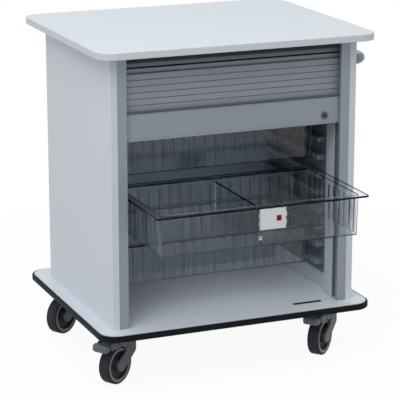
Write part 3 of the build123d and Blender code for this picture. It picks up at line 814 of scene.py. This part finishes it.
class TROLLEY_OT_shutter(Operator):
    """Make the shutter's slats, webs, end bar and lock, with its seal and wiper. The seal and the wiper are
    dark grey as painted shade, and so are the webs on the track.
    """

    bl_idname = "trolley.shutter"
    bl_label = "Shutter"

    # Height of a hinge web in joints between two slats.
    WEB_JOINTS = 3.0

    def execute(self, context):
        sizes = context.scene.trolley_sizes
        self.slats("shutter_slats", sizes, sizes.slat_gap, "slat")
        # Dark webs on the track: painted shade in their open joints.
        self.slats("stored_slats", sizes, sizes.bend_gap, "web")
        dress("end_bar", "slat", sizes.metal_soft)
        coat("end_bar_shoes", "shoe")
        bead = SLAT_DROP - (SLAT_PITCH - sizes.slat_gap) / 2
        # Seal and wiper: dark strips of painted shade over the end bar and over the leaf's top joint.
        self.seal("end_bar_seal_and_shade", "end_bar", sizes.seal_height, sizes.seal_depth, 0.0, sizes)
        self.seal("leaf_wiper_and_shade", "shutter_slats", sizes.wiper_height, sizes.wiper_depth, bead, sizes)
        dress("lock_body", "lock", sizes.metal_soft)
        dress("lock_plug", "keyway", sizes.metal_soft / 2)
        dress("lock_cam", "lock", sizes.metal_soft / 2)
        return {"FINISHED"}

    def places(self, node):
        """The middle of each slat of a CAD node and its lean about X, read from its left end face."""
        box_middle = middle_of("stored_slats")
        work = merged(node)
        middles, leans = [], []
        for cap in [f for f in work.faces if f.normal.x < -FACING]:
            edge = max(cap.edges, key=lambda e: e.calc_length())
            along = (edge.verts[1].co - edge.verts[0].co).normalized()
            out = cap.calc_center_median() - box_middle
            if along.y * out.z - along.z * out.y < 0:
                along.negate()
            aside = Vector((0.0, along.z, -along.y))
            sides = [aside.dot(v.co) for v in cap.verts]
            top = max(along.dot(v.co) for v in cap.verts)
            middles.append(along * (top - SLAT_DROP) + aside * (min(sides) + max(sides)) / 2)
            leans.append(atan2(-along.y, along.z))
        work.free()
        return middles, leans

    def slats(self, node, sizes, gap, web_surface):
        """A slat in each place, and the hinge web set back behind its upper joint. On the track the webs
        are dark, as painted shade in the open joints.
        """
        low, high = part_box(node)
        front, back = [corner.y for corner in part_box("shutter_slats")]
        middles, leans = self.places(node)
        shared = {"Pitch": SLAT_PITCH, "Gap": gap, "Length": high.x - low.x}
        recipe = Recipe(node, {**shared, "Thickness": back - front, "Soft": sizes.edge_soft})
        pitch, joint, run, thickness, soft = recipe.wires()
        slat = recipe.strip(run, thickness, pitch - joint, soft, EDGE_STEPS)
        recipe.piece(recipe.copies(slat), "slat", "slat", middles, leans)
        necks = {"Neck": sizes.neck, "Set-back": sizes.neck_back}
        recipe = Recipe(node, {**shared, **necks}, node + "_webs")
        pitch, joint, run, neck, behind = recipe.wires()
        web = recipe.strip(run, neck, joint * self.WEB_JOINTS, neck / 4, SMALL_STEPS)
        web = recipe.moved(web, recipe.vector(y=behind, z=pitch / 2))
        recipe.piece(recipe.copies(web), web_surface, "slat", middles, leans)

    def seal(self, name, node, height, depth, sunk, sizes):
        """A soft strip along the top of a piece of the shutter, sunk below the top of its box. Its dark
        grey is painted shade along that top.
        """
        low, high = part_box(node)
        size = (high.x - low.x - 2 * sizes.seal_back, depth, height)
        place = (0.0, low.y + sizes.seal_back + depth / 2, high.z - sunk + height / 2)
        soft_strip(name, node, size, min(sizes.seal_soft, height / 3), SEAL_STEPS, place, "seal")


class TROLLEY_OT_trays(Operator):
    """Make the clear trays and the divider"""

    bl_idname = "trolley.trays"
    bl_label = "Trays"

    TINTS = ("clear", "clear_rim", "clear_lip", "clear_floor")

    # How far the tints reach: down from a tray's and the divider's top, in from a rim's outer side as seen
    #     # from above and through it, up from a tray's underside, and in past its walls. The rim, mouth and
    #     rib tints are painted shade.
    RIM_DEPTH = 0.0052
    DIVIDER_EDGE = 0.003
    RIM_BAND = 0.003
    RIM_WIDTH = 0.008
    FLOOR_DEPTH = 0.006
    WALL_INSET = 0.034

    def execute(self, context):
        soft = context.scene.trolley_sizes.tray_soft
        for tray in TRAYS:
            self.clear_piece(tray + "_tray", self.RIM_DEPTH, soft, True)
        self.clear_piece("tray_divider", self.DIVIDER_EDGE, soft, False)
        return {"FINISHED"}

    def clear_piece(self, node, depth, soft, ribbed):
        """A clear piece with a deeper tint along its upper edge and on its ribs' flanks, as painted shade.
        """
        low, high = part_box(node)
        edge = high.z - depth
        work = softened(node, soft)
        cuts = [((0.0, 0.0, edge), (0.0, 0.0, 1.0))]
        if ribbed:
            for x in (low.x + self.RIM_BAND, high.x - self.RIM_BAND):
                cuts.append(((x, 0.0, 0.0), (1.0, 0.0, 0.0)))
            for y in (low.y + self.RIM_BAND, high.y - self.RIM_BAND):
                cuts.append(((0.0, y, 0.0), (0.0, 1.0, 0.0)))
        for point, across in cuts:
            bmesh.ops.bisect_plane(work, geom=work.verts[:] + work.edges[:] + work.faces[:], dist=MERGE,
                                   plane_co=point, plane_no=across)
        work.normal_update()
        for face in work.faces:
            tint = self.tint(face.calc_center_median(), face.normal, low, high, edge, ribbed)
            face.material_index = self.TINTS.index(tint)
        piece(node, coated(mesh_of(work, node), *self.TINTS))

    def tint(self, place, normal, low, high, edge, ribbed):
        """The finish of a face in a box, by its place, its normal and the height of the upper edge. Rims,
        mouths and rib flanks get tints of painted shade.
        """
        inset = self.WALL_INSET
        upright = abs(normal.z) < UPRIGHT
        inwards = min(place.x - low.x, high.x - place.x, place.y - low.y, high.y - place.y)
        if place.z > edge and (inwards < self.RIM_BAND or upright and inwards < self.RIM_WIDTH):
            return "clear_rim"
        if place.z > edge and abs(normal.y) > UPRIGHT:
            return "clear_lip"
        if ribbed and abs(normal.x) > RIB_SIDE and low.x + inset < place.x < high.x - inset:
            return "clear_rim"
        if ribbed and abs(normal.y) > RIB_SIDE and low.y + inset < place.y < high.y - inset:
            return "clear_lip"
        if not upright and place.z < low.z + self.FLOOR_DEPTH:
            return "clear_floor"
        return "clear"


class TROLLEY_OT_label(Operator):
    """Make the label on the pulled-out tray"""

    bl_idname = "trolley.label"
    bl_label = "Label"

    # Where the tabs start and how far they run, in shares of the card's height and width.
    SIDE_TABS = (0.2, 0.55)
    SIDE_TAB = 0.2
    TOP_TABS = (0.4, 0.82)
    TOP_TAB = 0.09

    def execute(self, context):
        sizes = context.scene.trolley_sizes
        holder = dress("label_holder", "clear", sizes.tray_soft)
        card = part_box("label_card")[0]
        # The hook that stands out at the foot of the holder is white, a painted highlight where the clear
        # hook catches the light.
        mark(holder.data, "card", lambda face: face.center.y < card.y and face.center.z < card.z)
        for part in ("card", "marker"):
            dress("label_" + part, part, sizes.tray_soft / 2)
        self.tabs(sizes.tab_out)
        return {"FINISHED"}

    def tabs(self, out):
        """Small tabs at the card's sides and top, which hold it in its holder."""
        low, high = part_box("label_card")
        wide, tall = high.x - low.x, high.z - low.z
        corners = []
        for start in self.SIDE_TABS:
            base = low.z + tall * start
            top = base + tall * self.SIDE_TAB
            for x in (low.x, high.x):
                corners.append((Vector((x - out, low.y, base)), Vector((x + out, high.y, top))))
        for start in self.TOP_TABS:
            x = low.x + wide * start
            end = x + wide * self.TOP_TAB
            corners.append((Vector((x, low.y, high.z - out)), Vector((end, high.y, high.z + out))))
        piece("label_card", coated(blocks(corners), "card"), "label_tabs")


class TROLLEY_OT_handle(Operator):
    """Make the side handle"""

    bl_idname = "trolley.handle"
    bl_label = "Handle"

    def execute(self, context):
        for node in ("side_handle", "handle_rosettes"):
            dress(node, "handle")
        coat("handle_bolts", "steel")
        return {"FINISHED"}


class TROLLEY_OT_castors(Operator):
    """Make the castors"""

    bl_idname = "trolley.castors"
    bl_label = "Castors"

    # Points beside the corners of a tyre's and a wheel centre's outlines: outwards, and across.
    SEAT_EDGE = ((0.0, -0.0012), (0.0004, -0.0004))
    RING_EDGE = ((-0.0006, -0.0004), (0.0, -0.0012), (0.0005, 0.0))
    HUB_EDGE = ((-0.0008, 0.0), (0.0, -0.0008))
    HUB_FOOT = ((0.0024, 0.0014), (0.004, 0.0))
    RIM_FOOT = ((-0.001, 0.0), (0.0006, 0.0008))
    RIM_EDGE = ((0.0026, -0.0006), (0.0034, 0.0))

    # Height of the rubber, radius of the bore, radius and width of the hub, and depth of the pale ring.
    TYRE_WALL = 0.010
    BORE_RADIUS = 0.0051
    HUB_RADIUS = 0.015
    HUB_WIDTH = 0.035
    RING_DEPTH = 0.001

    # Size of the faces of a pedal, and how it is smoothed.
    PEDAL_GRAIN = 0.0015
    PEDAL_PASSES = 40
    PEDAL_FACTOR = 0.5

    def execute(self, context):
        sizes = context.scene.trolley_sizes
        for castor in CASTORS:
            dress(castor + "_castor_head", "steel", sizes.metal_soft)
            dress(castor + "_castor_fork", "fork", sizes.edge_soft)
            coat(castor + "_castor_axle", "steel")
            low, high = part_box(castor + "_castor_tyre")
            radius = (high.z - low.z) / 2
            self.tyre(castor, radius, sizes)
            self.wheel(castor, radius, sizes)
        for castor in BRAKED:
            self.pedal(castor + "_castor_pedal")
        return {"FINISHED"}

    def pedal(self, node):
        """A brake pedal with a well-rounded toe."""
        holder = add_object(node, mesh_of(merged(node), node))
        remesh = holder.modifiers.new("even faces", "REMESH")
        remesh.mode = "VOXEL"
        remesh.voxel_size = self.PEDAL_GRAIN
        soften = holder.modifiers.new("soften", "SMOOTH")
        soften.factor = self.PEDAL_FACTOR
        soften.iterations = self.PEDAL_PASSES
        piece(node, coated(applied(holder), "pedal"))

    def tyre(self, castor, radius, sizes):
        """A tread with round shoulders and a pale ring on each side."""
        half, soft = sizes.tyre_width / 2, sizes.tyre_soft
        seat = radius - self.TYRE_WALL
        ring = seat + sizes.ring_height
        side = beside(seat, half, self.SEAT_EDGE) + beside(ring, half, self.RING_EDGE)
        turns = [pi / 2 * (1 - i / BEND_STEPS) for i in range(BEND_STEPS + 1)]
        side += [(radius + soft * (cos(a) - 1), half + soft * (sin(a) - 1)) for a in turns]
        self.turned(castor, "tyre", side, 0.0, ring, half - self.RING_DEPTH)

    def wheel(self, castor, radius, sizes):
        """A dished wheel centre with a pale rim."""
        rim = radius - self.TYRE_WALL
        half, hub_half = sizes.wheel_width / 2, self.HUB_WIDTH / 2
        hub, lip = self.HUB_RADIUS, rim - sizes.rim
        floor = half - sizes.dish
        side = [(self.BORE_RADIUS, hub_half), *beside(hub, hub_half, self.HUB_EDGE)]
        side += beside(hub, floor, self.HUB_FOOT) + beside(lip, floor, self.RIM_FOOT)
        side += [*beside(lip, half, self.RIM_EDGE), (rim, half)]
        self.turned(castor, "wheel", side, lip + self.RIM_EDGE[0][0], rim, half - self.RING_DEPTH)

    def turned(self, castor, part, side, start, end, out):
        """A turned part on a castor's axle, its sides in the pale ring's finish between two radii."""

        def pale(face):
            return start < hypot(face.center.x, face.center.z) < end and abs(face.center.y) > out

        mesh = coated(lathe(side), part)
        mark(mesh, "ring", pale)
        axle = middle_of(castor + "_castor_tyre")
        trail = axle - middle_of(castor + "_castor_head")
        turn = Matrix.Rotation(atan2(trail.y, trail.x), 4, "Z")
        mesh.transform(Matrix.Translation(axle) @ turn)
        piece(f"{castor}_castor_{part}", mesh)


class TROLLEY_OT_fasteners(Operator):
    """Make the screws under the deck"""

    bl_idname = "trolley.fasteners"
    bl_label = "Fasteners"

    # Diameters of a screw's parts, the height of its head and the sides of its round parts.
    HEAD = 0.011
    SHANK = 0.006
    RECESS = 0.005
    HEAD_HEIGHT = 0.004
    HEAD_SIDES = 32
    SHANK_SIDES = 16
    RECESS_SIDES = 6

    def execute(self, context):
        for node in ("castor_screws", "panel_screws"):
            self.screws(node)
        return {"FINISHED"}

    def screws(self, node):
        """Pan-head screws with a recess, pointing up."""
        boxes = solid_boxes(node)
        seat = boxes[0][0].z + self.HEAD_HEIGHT
        places = [(*((low + high) / 2).xy, low.z + self.HEAD_HEIGHT) for low, high in boxes]
        recipe = Recipe(node, {
            "Head": self.HEAD, "Height": self.HEAD_HEIGHT, "Recess": self.RECESS, "Shank": self.SHANK,
            "Length": max(high.z for low, high in boxes) - seat})
        head, height, recess, shank, run = recipe.wires()
        wall = (head - recess) / 2
        half = height / 2
        circle = recipe.add("GeometryNodeCurvePrimitiveCircle",
                            {"Resolution": self.HEAD_SIDES, "Radius": (head + recess) / 4})
        ring = recipe.swept(circle, recipe.rounded(wall, height, wall / 4, EDGE_STEPS))
        ring = recipe.moved(ring, recipe.vector(z=half * -1.0))
        floor = recipe.rod(self.RECESS_SIDES, recess / 2 + wall / 4, half, half / -2)
        body = recipe.rod(self.SHANK_SIDES, shank / 2, run, run / 2)
        screws = recipe.copies(recipe.joined(ring, floor, body))
        recipe.piece(screws, "steel", "steel", places)


class TROLLEY_OT_stage(Operator):
    """Make the floor, the light and the camera"""

    bl_idname = "trolley.stage"
    bl_label = "Stage"

    # Rays that show the stage itself: direct, mirrored or through a clear piece.
    SEEN = ("Camera", "Glossy", "Transmission")

    def execute(self, context):
        stage = context.scene.trolley_stage
        self.sky(stage)
        self.floor(stage)
        self.lamp(stage)
        self.camera(stage)
        context.scene.view_settings.view_transform = "Standard"
        return {"FINISHED"}

    def blank(self, data):
        """An empty node tree for a world or a material."""
        data.use_nodes = True
        data.node_tree.nodes.clear()
        return Plan(data.node_tree)

    def sky(self, stage):
        """White all round to the eye, and soft light on the trolley."""
        world = bpy.data.worlds.new("studio")
        plan = self.blank(world)
        soft = plan.add("ShaderNodeBackground", {"Color": WHITE, "Strength": stage.sky})
        white = plan.add("ShaderNodeBackground", {"Color": WHITE, "Strength": 1.0})
        mixed = plan.either(plan.rays(*self.SEEN), soft, white)
        plan.add("ShaderNodeOutputWorld", {"Surface": mixed})
        bpy.context.scene.world = world

    def floor(self, stage):
        """A white floor that keeps the trolley's shadow."""
        half = stage.floor_span / 2
        mesh = bpy.data.meshes.new("floor")
        mesh.from_pydata([(-half, -half, 0), (half, -half, 0), (half, half, 0), (-half, half, 0)], [],
                         [(0, 1, 2, 3)])
        surface = bpy.data.materials.new("floor")
        plan = self.blank(surface)
        paper_white = plan.add("ShaderNodeEmission", {"Strength": 1.0})
        shaded = plan.add("ShaderNodeBsdfDiffuse", {"Color": WHITE})
        place = plan.add("ShaderNodeTexCoord", out="Object")
        reach = plan.add("ShaderNodeVectorMath", {0: place}, "Value", operation="LENGTH")
        white = stage.floor_paper + (reach - stage.shadow_reach) * (1.0 - stage.floor_paper)
        white = plan.add("ShaderNodeClamp", {"Value": white, "Min": stage.floor_paper})
        shown = plan.either(white, shaded, paper_white)
        level = stage.floor_return
        plain = plan.add("ShaderNodeBsdfDiffuse", {"Color": (level, level, level, 1.0)})
        mixed = plan.either(plan.rays(*self.SEEN), plain, shown)
        plan.add("ShaderNodeOutputMaterial", {"Surface": mixed})
        mesh.materials.append(surface)
        add_object("floor", mesh)

    def lamp(self, stage):
        """One large soft lamp above and in front."""
        data = bpy.data.lights.new("key", "AREA")
        data.shape = "DISK"
        data.size = stage.key_span
        data.energy = stage.key_power
        lamp = add_object("key", data)
        lamp.location = stage.key_place
        target = (cad_box[0] + cad_box[1]) / 2
        lamp.rotation_euler = (target - lamp.location).to_track_quat("-Z", "Y").to_euler()

    def camera(self, stage):
        """The viewpoint, with the frame taken as square."""
        data = bpy.data.cameras.new("camera")
        data.lens = stage.camera_lens
        data.sensor_width = SENSOR_WIDTH
        camera = add_object("camera", data)
        camera.location = stage.camera_place
        camera.rotation_euler = (pi / 2 - stage.camera_tilt, 0.0, -stage.camera_heading)
        bpy.context.scene.camera = camera


GROUPS = {"trolley_sizes": TrolleySizes, "trolley_colours": TrolleyColours, "trolley_stage": TrolleyStage}
OPERATORS = (
    TROLLEY_OT_finishes, TROLLEY_OT_boards, TROLLEY_OT_cabinet, TROLLEY_OT_shutter, TROLLEY_OT_trays,
    TROLLEY_OT_label, TROLLEY_OT_handle, TROLLEY_OT_castors, TROLLEY_OT_fasteners, TROLLEY_OT_stage,
)


class TROLLEY_PT_panel(Panel):
    """Lists the trolley's pieces and settings"""

    bl_idname = "TROLLEY_PT_panel"
    bl_label = "Shutter Box Trolley"
    bl_space_type = "VIEW_3D"
    bl_region_type = "UI"
    bl_category = "Trolley"

    def draw(self, context):
        for operator in OPERATORS:
            self.layout.operator(operator.bl_idname)
        for name, group in GROUPS.items():
            box = self.layout.box()
            for setting in group.__annotations__:
                box.prop(getattr(context.scene, name), setting)


CLASSES = (*GROUPS.values(), *OPERATORS, TROLLEY_PT_panel)


def register():
    for item in CLASSES:
        bpy.utils.register_class(item)
    for name, group in GROUPS.items():
        setattr(bpy.types.Scene, name, PointerProperty(type=group))


def unregister():
    for name in GROUPS:
        delattr(bpy.types.Scene, name)
    for item in reversed(CLASSES):
        bpy.utils.unregister_class(item)


def main():
    register()
    for operator in OPERATORS:
        getattr(bpy.ops.trolley, operator.bl_idname.split(".")[1])()


if __name__ == "__main__":
    main()
